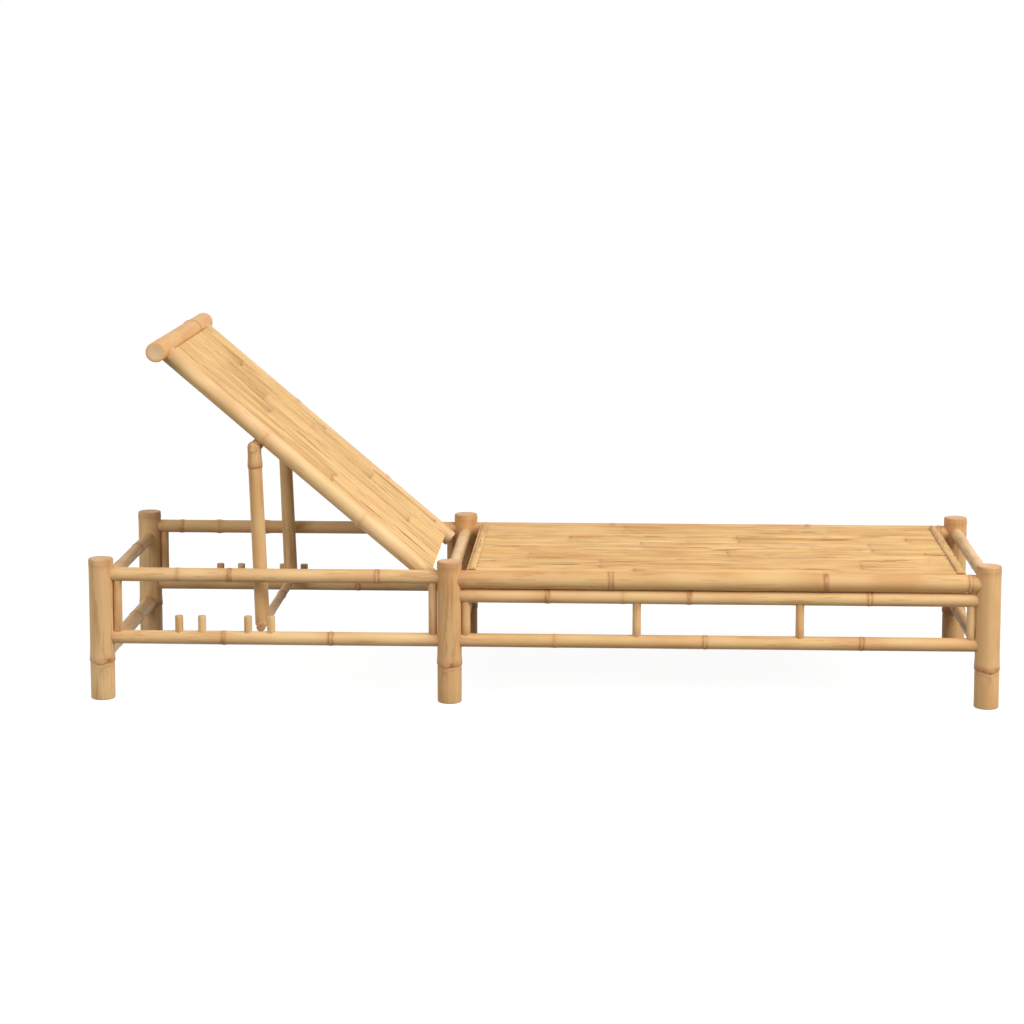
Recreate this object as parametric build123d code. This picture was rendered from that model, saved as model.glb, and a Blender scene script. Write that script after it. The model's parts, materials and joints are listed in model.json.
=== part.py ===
"""Bamboo sun lounger with a reclining backrest held up by a hinged prop.

Frame: +X towards the foot end, +Y towards the sitter's left, +Z up, origin on the floor
under the middle of the frame. The backrest stands at its highest position.
"""
import os
from math import cos, hypot, radians, sin, sqrt

from build123d import *

# Overall layout
LEG_SPAN_X = 1945.0        # head leg axis to foot leg axis
LEG_SPAN_Y = 595.0         # right leg axis to left leg axis
HEAD_BAY = 770.0           # head leg axis to middle leg axis
LEG_HEIGHT = 315.0
LEG_DIA = 54.0

# Side rails: axes of the upper ones below the legs' tops, of the lower ones above the floor
HEAD_RAIL_BELOW_TOP = 36.0
HEAD_RAIL_DIA = 31.0
LOWER_RAIL_Z = 138.5
LOWER_RAIL_DIA = 30.0
DECK_RAIL_BELOW_TOP = 41.0
DECK_RAIL_DIA = 40.0
UNDER_RAIL_DIA = 29.0
UNDER_RAIL_GAP = 1.5       # between the deck rail and the rail under it

# Crossbars between a pair of legs, measured in the same way
CROSSBAR_DIA = 28.0
LOW_BAR_DIA = 33.0
HEAD_BAR_BELOW_TOP = 62.0
MIDDLE_BAR_BELOW_TOP = 44.0
FOOT_BAR_BELOW_TOP = 36.0
LOW_BAR_Z = 94.0
FOOT_LOW_BAR_Z = 105.0

# Short uprights between the upper and lower side rails
STILE_DIA = 19.0
DECK_STILE_FIRST = 411.0   # from the middle leg's axis
DECK_STILE_SECOND = 767.0

# Joints between culms
TENON_DIA = 16.0
TENON_DEPTH = 14.0
TENON_ROOT = 6.0           # how far a tenon runs on inside its own pole
SEAT_GAP = 0.15            # between a coped end and what it seats on
SOCKET_GAP = 0.1           # between a tenon and its socket

# Culm nodes: the raised rings that grow on bamboo
NODE_RISE = 1.1
NODE_WIDTH = 7.0
END_EASE = 1.2             # chamfer on a sawn end
LEG_NODE_LOW = 84.0
LEG_NODE_TOP = 13.0        # below the leg's top

# Deck surface
BEARER_DIA = 24.0
DECK_BEARERS = 4
DECK_SLATS = 16
DECK_SLAT_INSET_MIDDLE = 37.0
DECK_SLAT_INSET_FOOT = 46.0
SLAT_THICKNESS = 7.0
SLAT_CROWN = 1.4           # how far the middle of a slat stands above its edges
SLAT_GAP = 1.2
SLAT_EDGE_GAP = 1.3        # between the outer slats and the rails' nodes
BATTEN_WIDTH = 15.0
BATTEN_HEIGHT = 5.0
BATTEN_INSET = 5.0

# Pegs on the lower head rails, in steps of the pitch
PEG_DIA = 18.0
PEG_STAND = 34.0           # above the rail
PEG_TENON_DIA = 10.0
PEG_TENON_DEPTH = 9.0
PEG_FROM_HEAD = 172.0
PEG_PITCH = 51.0
PEG_STEPS = (0, 1, 3, 4)

# Backrest, measured from its hinge axis
RECLINE = 40.5             # degrees above the horizontal
HINGE_FROM_MIDDLE = 43.5
HINGE_DROP = 9.65          # below the head rails' axes
HINGE_PIN_DIA = 8.0
HINGE_PIN_SHORT = 5.0      # short of the back rail's inner side
HINGE_PIN_PAST = 5.0       # past the head rail's axis
RUNNING_GAP = 0.05         # radial, where a pin turns in a hole
BACK_RAIL_DIA = 38.0
BACK_RAIL_Y = 248.0
BACK_RAIL_TAIL = 12.0      # past the hinge axis
BACK_RAIL_NODES = (0.272, 0.629)   # shares of its length
ROLLER_REACH = 778.0       # hinge axis to roller axis
ROLLER_DIA = 45.0
ROLLER_LENGTH = 650.0
ROLLER_NODES = (0.723,)            # shares of its length
BACK_BEARER_DIA = 20.0
BACK_BEARER_LOW = 75.0     # hinge axis to each bearer
BACK_BEARER_MIDDLE = 355.0
BACK_BEARER_HIGH = 655.0
BACK_SLATS = 13
BACK_SLAT_START = 10.0     # hinge axis to the slats' lower ends
BACK_SLAT_GAP = 1.5        # between the slats' upper ends and the roller

# Prop that holds the backrest up
PROP_DIA = 31.5
PIVOT_REACH = 482.0        # hinge axis to prop pivot, along the rail
PIVOT_DROP = 36.5          # below the rail's axis
PROP_ROUNDING = 15.2       # radius of the prop's upper end about its pivot
PROP_NODE_DROP = 48.0      # below the pivot
PROP_BOLT_DIA = 8.0
FOOT_DOWEL_DIA = 20.0
FOOT_DOWEL_RAIL_GAP = 0.6  # from each end to the lower rail beside it
FOOT_DOWEL_SINK = 5.0      # its underside, below the tops of the lower rails
HANGER_THICKNESS = 3.0
HANGER_WIDTH = 26.0
HANGER_RISE = 9.5          # above the rail's axis
BOLT_HEAD_DIA = 13.0
BOLT_HEAD_HEIGHT = 3.0
BOLT_HEAD_GAP = 0.6
SCREW_DIA = 4.0
SCREW_DEPTH = 14.0
SCREW_HEAD_DIA = 8.0
SCREW_HEAD_HEIGHT = 1.8
SCREW_SPACING = 14.0

# Places that follow from the sizes above
HEAD_X = -LEG_SPAN_X / 2
FOOT_X = LEG_SPAN_X / 2
MIDDLE_X = HEAD_X + HEAD_BAY
SIDE_Y = LEG_SPAN_Y / 2
SIDES = (("right", -1), ("left", 1))
HEAD_RAIL_Z = LEG_HEIGHT - HEAD_RAIL_BELOW_TOP
DECK_RAIL_Z = LEG_HEIGHT - DECK_RAIL_BELOW_TOP
HEAD_BAR_Z = LEG_HEIGHT - HEAD_BAR_BELOW_TOP
MIDDLE_BAR_Z = LEG_HEIGHT - MIDDLE_BAR_BELOW_TOP
FOOT_BAR_Z = LEG_HEIGHT - FOOT_BAR_BELOW_TOP
UNDER_RAIL_Z = DECK_RAIL_Z - DECK_RAIL_DIA / 2 - UNDER_RAIL_GAP - UNDER_RAIL_DIA / 2
BACK_BEARER_REACH = (BACK_BEARER_LOW, BACK_BEARER_MIDDLE, BACK_BEARER_HIGH)
LEG_RADIUS = LEG_DIA / 2
HINGE = Vector(MIDDLE_X - HINGE_FROM_MIDDLE, 0, HEAD_RAIL_Z - HINGE_DROP)


def culm(length, diameter, rings=()):
    """A bamboo culm along +Z: a turned profile with a raised ring at each node."""
    radius = diameter / 2
    points = [(0, 0), (radius - END_EASE, 0), (radius, END_EASE)]
    for height in rings:
        points += [
            (radius, height - NODE_WIDTH / 2),
            (radius + NODE_RISE, height - NODE_WIDTH / 6),
            (radius + NODE_RISE, height + NODE_WIDTH / 6),
            (radius, height + NODE_WIDTH / 2),
        ]
    points += [(radius, length - END_EASE), (radius - END_EASE, length), (0, length)]
    profile = make_face(Plane.XZ * Polyline(*points, close=True))
    return revolve(profile, Axis.Z)


def rod(start, end, diameter):
    """A plain round rod between two points."""
    start, end = Vector(*start), Vector(*end)
    span = end - start
    middle = Plane(origin=start + span * 0.5, z_dir=span)
    return middle.location * Cylinder(diameter / 2, span.length)


def culm_between(start, end, diameter, rings=()):
    """A culm whose axis runs from start to end, with its nodes' rings measured from start."""
    start, end = Vector(*start), Vector(*end)
    span = end - start
    return Plane(origin=start, z_dir=span).location * culm(span.length, diameter, rings)


def through(point, direction, diameter, reach=200.0):
    """A long round cutter centred on a point."""
    point, direction = Vector(*point), Vector(*direction).normalized()
    return rod(point - direction * reach, point + direction * reach, diameter)


def toward(point, other, distance):
    """The point that lies a distance from one point towards another."""
    point, other = Vector(*point), Vector(*other)
    return point + (other - point).normalized() * distance


class Sockets:
    """The holes that tenons and pins need, gathered for each post by name."""

    def __init__(self):
        self.cutters = {}

    def add(self, post, cutter):
        self.cutters.setdefault(post, []).append(cutter)

    def cut(self, post, solid):
        for cutter in self.cutters.get(post, []):
            solid = solid - cutter
        return solid


sockets = Sockets()
nodes = {}


def leg(x, y, clearance=0.0):
    """A leg with a node near its foot and one under its top, or its envelope with a clearance."""
    rings = (LEG_NODE_LOW, LEG_HEIGHT - LEG_NODE_TOP)
    return culm_between((x, y, 0), (x, y, LEG_HEIGHT), LEG_DIA + 2 * clearance, rings)


def leg_envelope(point):
    """What a rail is coped by: the leg at a point, with room for the seat."""
    return leg(point[0], point[1], SEAT_GAP)


def rail_envelope(diameter):
    """What a bearer is coped by: a rail along X through a point, with room for the seat."""
    return lambda point: through(point, (1, 0, 0), diameter + 2 * SEAT_GAP)


def framed(start, end, diameter, posts, post_dia, envelope, node_shares=()):
    """A culm between two posts: coped round each post's envelope and tenoned into it.

    Its nodes sit at the given shares of the distance between the posts' axes.
    """
    span = (Vector(*end) - Vector(*start)).length
    pole = culm_between(start, end, diameter, [span * share for share in node_shares])
    for post, here, there in ((posts[0], start, end), (posts[1], end, start)):
        pole = pole - envelope(here)
        shoulder = toward(here, there, post_dia / 2 + TENON_ROOT)
        tip = toward(here, there, post_dia / 2 - TENON_DEPTH)
        floor = toward(here, there, post_dia / 2 - TENON_DEPTH - SOCKET_GAP)
        pole = pole + rod(tip, shoulder, TENON_DIA)
        sockets.add(post, rod(floor, shoulder, TENON_DIA + 2 * SOCKET_GAP))
    return pole


def make_side_rails():
    """Rails along X on both sides, tenoned into the head, middle and foot legs."""
    head, middle, foot = "head", "middle", "foot"
    rails = (
        ("head_rail", head, middle, HEAD_RAIL_Z, HEAD_RAIL_DIA, (0.212, 0.366, 0.784)),
        ("head_lower_rail", head, middle, LOWER_RAIL_Z, LOWER_RAIL_DIA, (0.355, 0.659)),
        ("deck_rail", middle, foot, DECK_RAIL_Z, DECK_RAIL_DIA, (0.293, 0.704, 0.966)),
        ("deck_under_rail", middle, foot, UNDER_RAIL_Z, UNDER_RAIL_DIA, (0.176, 0.446, 0.779)),
        ("foot_lower_rail", middle, foot, LOWER_RAIL_Z, LOWER_RAIL_DIA, (0.190, 0.472, 0.766)),
    )
    place = {head: HEAD_X, middle: MIDDLE_X, foot: FOOT_X}
    for side, sign in SIDES:
        for name, first, last, height, diameter, node_shares in rails:
            posts = (f"{first}_leg_{side}", f"{last}_leg_{side}")
            start = (place[first], sign * SIDE_Y, height)
            end = (place[last], sign * SIDE_Y, height)
            nodes[f"{name}_{side}"] = framed(
                start, end, diameter, posts, LEG_DIA, leg_envelope, node_shares
            )


def make_crossbars():
    """Bars along Y between the two legs of each pair."""
    bars = (
        ("head_crossbar", "head", HEAD_X, HEAD_BAR_Z, CROSSBAR_DIA, (0.345, 0.723)),
        ("head_low_crossbar", "head", HEAD_X, LOW_BAR_Z, LOW_BAR_DIA, (0.252, 0.664)),
        ("middle_crossbar", "middle", MIDDLE_X, MIDDLE_BAR_Z, CROSSBAR_DIA, (0.437, 0.807)),
        ("middle_low_crossbar", "middle", MIDDLE_X, LOW_BAR_Z, LOW_BAR_DIA, (0.286, 0.689)),
        ("foot_crossbar", "foot", FOOT_X, FOOT_BAR_Z, CROSSBAR_DIA, (0.319, 0.756)),
        ("foot_low_crossbar", "foot", FOOT_X, FOOT_LOW_BAR_Z, CROSSBAR_DIA, (0.387, 0.840)),
    )
    for name, pair, place, height, diameter, node_shares in bars:
        posts = (f"{pair}_leg_right", f"{pair}_leg_left")
        start, end = (place, -SIDE_Y, height), (place, SIDE_Y, height)
        nodes[name] = framed(
            start, end, diameter, posts, LEG_DIA, leg_envelope, node_shares
        )


def make_stiles():
    """Uprights between the side rails, beside each leg and along the deck."""
    beside = LEG_RADIUS + STILE_DIA / 2 + SEAT_GAP
    first, second = MIDDLE_X + DECK_STILE_FIRST, MIDDLE_X + DECK_STILE_SECOND
    head_bay = (HEAD_RAIL_Z, HEAD_RAIL_DIA)
    deck_bay = (UNDER_RAIL_Z, UNDER_RAIL_DIA)
    stiles = (
        ("stile_head", HEAD_X + beside, *head_bay),
        ("stile_middle_head", MIDDLE_X - beside, *head_bay),
        ("stile_middle_foot", MIDDLE_X + beside, *deck_bay),
        ("stile_deck_first", first, *deck_bay),
        ("stile_deck_second", second, *deck_bay),
        ("stile_foot", FOOT_X - beside, *deck_bay),
    )
    for side, sign in SIDES:
        for name, place, top, top_dia in stiles:
            low, high = (place, sign * SIDE_Y, LOWER_RAIL_Z), (place, sign * SIDE_Y, top)
            stile = culm_between(low, high, STILE_DIA)
            stile = stile - through(low, (1, 0, 0), LOWER_RAIL_DIA + 2 * SEAT_GAP)
            stile = stile - through(high, (1, 0, 0), top_dia + 2 * SEAT_GAP)
            nodes[f"{name}_{side}"] = stile


def peg_places():
    return [HEAD_X + PEG_FROM_HEAD + step * PEG_PITCH for step in PEG_STEPS]


def make_pegs():
    """Pegs that stand on the lower head rails and stop the prop's foot dowel."""
    rail_top = LOWER_RAIL_Z + LOWER_RAIL_DIA / 2
    for side, sign in SIDES:
        pegs = []
        for place in peg_places():
            axis = (place, sign * SIDE_Y)
            peg = culm_between((*axis, LOWER_RAIL_Z), (*axis, rail_top + PEG_STAND), PEG_DIA)
            cope = through((*axis, LOWER_RAIL_Z), (1, 0, 0), LOWER_RAIL_DIA + 2 * SEAT_GAP)
            tip = (*axis, rail_top - PEG_TENON_DEPTH)
            floor = (*axis, rail_top - PEG_TENON_DEPTH - SOCKET_GAP)
            shoulder = (*axis, rail_top + TENON_ROOT)
            pegs.append(peg - cope + rod(tip, shoulder, PEG_TENON_DIA))
            hole = rod(floor, shoulder, PEG_TENON_DIA + 2 * SOCKET_GAP)
            sockets.add(f"head_lower_rail_{side}", hole)
        nodes[f"pegs_{side}"] = Compound(children=pegs)


def slat(start_x, end_x, y, width, bottom):
    """One split-bamboo slat along X: flat underneath, gently crowned on top."""
    edge = SLAT_THICKNESS - SLAT_CROWN
    outline = [
        Polyline((-width / 2, edge), (-width / 2, 0), (width / 2, 0), (width / 2, edge)),
        ThreePointArc((width / 2, edge), (0, SLAT_THICKNESS), (-width / 2, edge)),
    ]
    section = Plane(origin=(start_x, y, bottom), x_dir=(0, 1, 0), z_dir=(1, 0, 0))
    return extrude(section * make_face(outline), amount=end_x - start_x, dir=(1, 0, 0))


def slat_row(count, half_width, start_x, end_x, bottom):
    """A row of slats side by side across the width between two rails."""
    pitch = 2 * half_width / count
    width = pitch - SLAT_GAP
    places = [-half_width + pitch * (index + 0.5) for index in range(count)]
    return [slat(start_x, end_x, y, width, bottom) for y in places]


def slat_half_width(rail_y, rail_dia, bearer_dia):
    """Half the width that is free between two rails at the height of the slats' undersides."""
    height = bearer_dia / 2 + SEAT_GAP
    return rail_y - sqrt((rail_dia / 2 + NODE_RISE) ** 2 - height**2) - SLAT_EDGE_GAP


def make_deck():
    """Bearers between the deck rails, slats on the bearers and a batten over each end."""
    start = MIDDLE_X + DECK_SLAT_INSET_MIDDLE
    end = FOOT_X - DECK_SLAT_INSET_FOOT
    pitch = (end - start) / DECK_BEARERS
    posts = ("deck_rail_right", "deck_rail_left")
    for index in range(DECK_BEARERS):
        place = start + pitch * (index + 0.5)
        low, high = (place, -SIDE_Y, DECK_RAIL_Z), (place, SIDE_Y, DECK_RAIL_Z)
        nodes[f"deck_bearer_{index + 1}"] = framed(
            low, high, BEARER_DIA, posts, DECK_RAIL_DIA, rail_envelope(DECK_RAIL_DIA)
        )
    bottom = DECK_RAIL_Z + BEARER_DIA / 2 + SEAT_GAP
    half_width = slat_half_width(SIDE_Y, DECK_RAIL_DIA, BEARER_DIA)
    slats = slat_row(DECK_SLATS, half_width, start, end, bottom)
    nodes["deck_slats"] = Compound(children=slats)
    top = bottom + SLAT_THICKNESS + SEAT_GAP
    ends = (
        ("deck_batten_middle", start + BATTEN_INSET + BATTEN_WIDTH / 2),
        ("deck_batten_foot", end - BATTEN_INSET - BATTEN_WIDTH / 2),
    )
    for name, place in ends:
        outline = [
            Line((-BATTEN_WIDTH / 2, 0), (BATTEN_WIDTH / 2, 0)),
            ThreePointArc((BATTEN_WIDTH / 2, 0), (0, BATTEN_HEIGHT), (-BATTEN_WIDTH / 2, 0)),
        ]
        section = Plane(origin=(place, -half_width, top), x_dir=(1, 0, 0), z_dir=(0, 1, 0))
        face = section * make_face(mirror(outline, Plane.XZ))
        nodes[name] = extrude(face, amount=2 * half_width, dir=(0, 1, 0))


def raised(shape):
    """Turns a shape of the flat backrest about the hinge axis to its recline angle."""
    return shape.rotate(Axis(tuple(HINGE), (0, 1, 0)), RECLINE)


def on_back(reach, y, rise=0.0):
    """A point of the flat backrest: reach towards the head end, y across, rise upwards."""
    return (HINGE.X - reach, y, HINGE.Z + rise)


def pivot_place():
    """The prop's pivot with the backrest raised, in the XZ plane."""
    angle = radians(RECLINE)
    x = HINGE.X - PIVOT_REACH * cos(angle) - PIVOT_DROP * sin(angle)
    z = HINGE.Z + PIVOT_REACH * sin(angle) - PIVOT_DROP * cos(angle)
    return x, z


def foot_place():
    """The foot dowel's axis: between the lower rails, midway between the last two pegs."""
    pegs = peg_places()
    z = LOWER_RAIL_Z + LOWER_RAIL_DIA / 2 + FOOT_DOWEL_DIA / 2 - FOOT_DOWEL_SINK
    return (pegs[-2] + pegs[-1]) / 2, z


def make_backrest():
    """Two rails and a head roller, with bearers and slats, all turned to the recline angle."""
    for side, sign in SIDES:
        y = sign * BACK_RAIL_Y
        tail, tip = on_back(-BACK_RAIL_TAIL, y), on_back(ROLLER_REACH, y)
        rail_length = BACK_RAIL_TAIL + ROLLER_REACH
        rings = [rail_length * share for share in BACK_RAIL_NODES]
        rail = culm_between(tail, tip, BACK_RAIL_DIA, rings)
        rail = rail - through(tip, (0, 1, 0), ROLLER_DIA + 2 * SEAT_GAP)
        shoulder = toward(tip, tail, ROLLER_DIA / 2 + TENON_ROOT)
        tenon_tip = toward(tip, tail, ROLLER_DIA / 2 - TENON_DEPTH)
        floor = toward(tip, tail, ROLLER_DIA / 2 - TENON_DEPTH - SOCKET_GAP)
        rail = rail + rod(tenon_tip, shoulder, TENON_DIA)
        sockets.add("head_roller", rod(floor, shoulder, TENON_DIA + 2 * SOCKET_GAP))
        nodes[f"back_rail_{side}"] = rail
    roller_start = on_back(ROLLER_REACH, -ROLLER_LENGTH / 2)
    roller_end = on_back(ROLLER_REACH, ROLLER_LENGTH / 2)
    rings = [ROLLER_LENGTH * share for share in ROLLER_NODES]
    nodes["head_roller"] = culm_between(roller_start, roller_end, ROLLER_DIA, rings)
    posts = ("back_rail_right", "back_rail_left")
    for index, reach in enumerate(BACK_BEARER_REACH):
        low, high = on_back(reach, -BACK_RAIL_Y), on_back(reach, BACK_RAIL_Y)
        nodes[f"back_bearer_{index + 1}"] = framed(
            low, high, BACK_BEARER_DIA, posts, BACK_RAIL_DIA, rail_envelope(BACK_RAIL_DIA)
        )
    rise = BACK_BEARER_DIA / 2 + SEAT_GAP
    bottom = HINGE.Z + rise
    half_width = slat_half_width(BACK_RAIL_Y, BACK_RAIL_DIA, BACK_BEARER_DIA)
    roller_edge = sqrt((ROLLER_DIA / 2) ** 2 - rise**2)
    start = HINGE.X - ROLLER_REACH + roller_edge + BACK_SLAT_GAP
    slats = slat_row(BACK_SLATS, half_width, start, HINGE.X - BACK_SLAT_START, bottom)
    nodes["back_slats"] = Compound(children=slats)


def make_hinge_pins():
    """Pins fixed in the head rails, on which the backrest's rails turn."""
    for side, sign in SIDES:
        inner = sign * (BACK_RAIL_Y - BACK_RAIL_DIA / 2 + HINGE_PIN_SHORT)
        outer = sign * (SIDE_Y + HINGE_PIN_PAST)
        start, end = on_back(0, inner), on_back(0, outer)
        nodes[f"hinge_pin_{side}"] = rod(start, end, HINGE_PIN_DIA)
        beyond = on_back(0, outer + sign * SOCKET_GAP)
        before = on_back(0, inner - sign * SOCKET_GAP)
        sockets.add(f"head_rail_{side}", rod(start, beyond, HINGE_PIN_DIA + 2 * SOCKET_GAP))
        sockets.add(f"back_rail_{side}", rod(before, end, HINGE_PIN_DIA + 2 * RUNNING_GAP))


def pivot_rod(start_y, end_y, diameter):
    """A round rod along the prop's pivot axis, on the flat backrest."""
    ends = (on_back(PIVOT_REACH, y, -PIVOT_DROP) for y in (start_y, end_y))
    return rod(*ends, diameter)


def make_hangers():
    """Steel plates on the back rails' inner sides, which carry the prop's pivot bolts."""
    bolts, screws = [], []
    drop = -PIVOT_DROP
    for side, sign in SIDES:
        inner = BACK_RAIL_Y - BACK_RAIL_DIA / 2 - NODE_RISE - SEAT_GAP - HANGER_THICKNESS
        middle_y = sign * (inner + HANGER_THICKNESS / 2)
        height = HANGER_RISE - drop
        plate_middle = on_back(PIVOT_REACH, middle_y, (HANGER_RISE + drop) / 2)
        plate = Pos(*plate_middle) * Box(HANGER_WIDTH, HANGER_THICKNESS, height)
        half = HANGER_THICKNESS / 2
        ear = pivot_rod(middle_y - half, middle_y + half, HANGER_WIDTH)
        face = sign * inner
        nut_base = face - sign * SEAT_GAP
        head_base = sign * (BACK_RAIL_Y + PROP_DIA / 2 + BOLT_HEAD_GAP)
        bolt = pivot_rod(nut_base, head_base, PROP_BOLT_DIA)
        bolt = bolt + pivot_rod(head_base, head_base + sign * BOLT_HEAD_HEIGHT, BOLT_HEAD_DIA)
        bolt = bolt + pivot_rod(nut_base - sign * BOLT_HEAD_HEIGHT, nut_base, BOLT_HEAD_DIA)
        bolts.append(bolt)
        plate = plate + ear - pivot_rod(nut_base, head_base, PROP_BOLT_DIA + 2 * SOCKET_GAP)
        for offset in (-SCREW_SPACING / 2, SCREW_SPACING / 2):
            reach = PIVOT_REACH + offset
            tip = sign * (inner + HANGER_THICKNESS + SCREW_DEPTH)
            head = nut_base - sign * SCREW_HEAD_HEIGHT
            shank = rod(on_back(reach, nut_base), on_back(reach, tip), SCREW_DIA)
            screws.append(shank + rod(on_back(reach, head), on_back(reach, nut_base), SCREW_HEAD_DIA))
            deeper = tip + sign * SOCKET_GAP
            clear = rod(on_back(reach, nut_base), on_back(reach, deeper), SCREW_DIA + 2 * SOCKET_GAP)
            plate = plate - clear
            sockets.add(f"back_rail_{side}", clear)
        nodes[f"prop_hanger_{side}"] = plate
    nodes["prop_pivot_bolts"] = Compound(children=bolts)
    nodes["hanger_screws"] = Compound(children=screws)


def make_prop():
    """Two prop legs that turn on the pivot bolts and straddle one foot dowel."""
    pivot_x, pivot_z = pivot_place()
    foot_x, foot_z = foot_place()
    length = hypot(foot_x - pivot_x, foot_z - pivot_z)
    for side, sign in SIDES:
        y = sign * BACK_RAIL_Y
        foot, pivot = (foot_x, y, foot_z), (pivot_x, y, pivot_z)
        upper_end = toward(pivot, foot, -PROP_ROUNDING)
        prop = culm_between(foot, upper_end, PROP_DIA, (length - PROP_NODE_DROP,))
        rounding = through(pivot, (0, 1, 0), 2 * PROP_ROUNDING, PROP_DIA)
        below_pivot = rod(foot, pivot, 2 * PROP_DIA)
        prop = prop & (below_pivot + rounding)
        prop = prop - through(foot, (0, 1, 0), FOOT_DOWEL_DIA + 2 * SEAT_GAP)
        prop = prop - through(pivot, (0, 1, 0), PROP_BOLT_DIA + 2 * RUNNING_GAP)
        nodes[f"prop_leg_{side}"] = prop
    half = SIDE_Y - LOWER_RAIL_DIA / 2 - NODE_RISE - FOOT_DOWEL_RAIL_GAP
    nodes["foot_dowel"] = culm_between((foot_x, -half, foot_z), (foot_x, half, foot_z), FOOT_DOWEL_DIA)


def make_legs():
    """Six legs: a pair each at the head, the middle and the foot."""
    for pair, place in (("head", HEAD_X), ("middle", MIDDLE_X), ("foot", FOOT_X)):
        for side, sign in SIDES:
            nodes[f"{pair}_leg_{side}"] = leg(place, sign * SIDE_Y)


RAISED = (
    "back_rail_right", "back_rail_left", "head_roller", "back_slats", "hanger_screws",
    "back_bearer_1", "back_bearer_2", "back_bearer_3",
    "prop_hanger_right", "prop_hanger_left", "prop_pivot_bolts",
)

make_legs()
make_side_rails()
make_crossbars()
make_stiles()
make_pegs()
make_deck()
make_backrest()
make_hinge_pins()
make_hangers()
make_prop()

os.makedirs("parts", exist_ok=True)
for name, shape in nodes.items():
    shape = sockets.cut(name, shape)
    if name in RAISED:
        shape = raised(shape)
    export_step(shape, f"parts/{name}.step")

pivot_x, pivot_z = pivot_place()
foot_x, foot_z = foot_place()
print(len(nodes), "nodes")
print("hinge axis", tuple(HINGE), "prop pivot", (pivot_x, pivot_z), "foot dowel", (foot_x, foot_z))
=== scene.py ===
# %% [markdown]
# # A bamboo sun lounger
# The lounger is a low frame of bamboo poles with a fixed slatted deck and a slatted backrest
# that a hinged prop holds up. The solid model already has every pole, slat and pin in its
# place, so this lesson loads it as a fixed frame and gives each piece its grown, uneven look.

# %% Load the solid model
import json

import bpy
import numpy as np
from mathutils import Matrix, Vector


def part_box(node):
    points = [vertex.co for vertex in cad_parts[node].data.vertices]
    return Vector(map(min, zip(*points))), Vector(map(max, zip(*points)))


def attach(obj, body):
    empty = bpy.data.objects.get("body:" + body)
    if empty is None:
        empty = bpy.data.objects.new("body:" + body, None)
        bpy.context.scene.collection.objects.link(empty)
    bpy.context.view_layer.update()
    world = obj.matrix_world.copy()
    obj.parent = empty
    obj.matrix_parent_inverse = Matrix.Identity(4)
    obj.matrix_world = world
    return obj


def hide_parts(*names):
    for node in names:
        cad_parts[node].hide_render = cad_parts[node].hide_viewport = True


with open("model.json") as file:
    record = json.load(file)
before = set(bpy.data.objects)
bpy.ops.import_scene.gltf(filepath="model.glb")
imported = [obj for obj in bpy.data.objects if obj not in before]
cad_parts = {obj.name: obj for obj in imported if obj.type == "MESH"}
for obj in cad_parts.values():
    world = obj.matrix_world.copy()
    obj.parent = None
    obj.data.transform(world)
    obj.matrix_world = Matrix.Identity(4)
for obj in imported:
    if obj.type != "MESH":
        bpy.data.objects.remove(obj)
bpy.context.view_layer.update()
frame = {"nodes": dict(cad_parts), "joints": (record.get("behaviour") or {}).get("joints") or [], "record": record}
JOINTS = {joint["name"]: joint for joint in frame["joints"]}
BODY_OF = {
    node: body
    for body, members in frame["record"]["behaviour"]["bodies"].items()
    for node in members
}

# %% [markdown]
# ## The camera
# The lounger is seen from its right side and a little above, with a long lens, so that the
# near and far legs nearly line up. A small lens shift keeps the uprights almost parallel.

# %% Camera
CAMERA_PLACE = (0.1860, -5.9444, 1.4221)
CAMERA_YAW = 0.0444
CAMERA_PITCH = 0.1279
CAMERA_LENS = 92.32
CAMERA_SHIFT = -0.12

scene = bpy.context.scene
scene.view_settings.view_transform = "Standard"
camera = bpy.data.objects.new("camera", bpy.data.cameras.new("camera"))
camera.data.sensor_width = 36.0
camera.data.lens = CAMERA_LENS
camera.data.shift_y = CAMERA_SHIFT
camera.location = CAMERA_PLACE
camera.rotation_euler = (np.pi / 2 - CAMERA_PITCH, 0, CAMERA_YAW)
scene.collection.objects.link(camera)
scene.camera = camera
print("camera at", CAMERA_PLACE)

# %% [markdown]
# ## Meshes from arrays
# Every piece here is a profile carried along a line: rows of points along the piece and
# columns round it. A modelled cylinder with a Displace modifier would do for one pole, but
# whole arrays let one formula shape them all. Each point also keeps four facts for the
# materials: its place in the piece's own frame, the marks of the growth rings there (dark
# line, brown band and pink flush) with the painted shade at joints and strip edges, the
# piece's tone, and whether it lies on a sawn face.

# %% Mesh builder
def tube_faces(rows, columns):
    """Quads between neighbouring rows of a closed tube, then a fan of triangles at each end.

    Points are numbered row by row; the two end centres come after the last row.
    """
    row, column = np.meshgrid(np.arange(rows - 1), np.arange(columns), indexing="ij")
    after = (column + 1) % columns
    here, there = row * columns, (row + 1) * columns
    quads = np.stack([here + column, here + after, there + after, there + column], -1)
    ring = np.arange(columns)
    following = (ring + 1) % columns
    first, last = rows * columns, rows * columns + 1
    low = np.stack([following, ring, np.full(columns, first)], -1)
    top = (rows - 1) * columns
    high = np.stack([top + ring, top + following, np.full(columns, last)], -1)
    return quads.reshape(-1, 4), np.concatenate([low, high])


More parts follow.
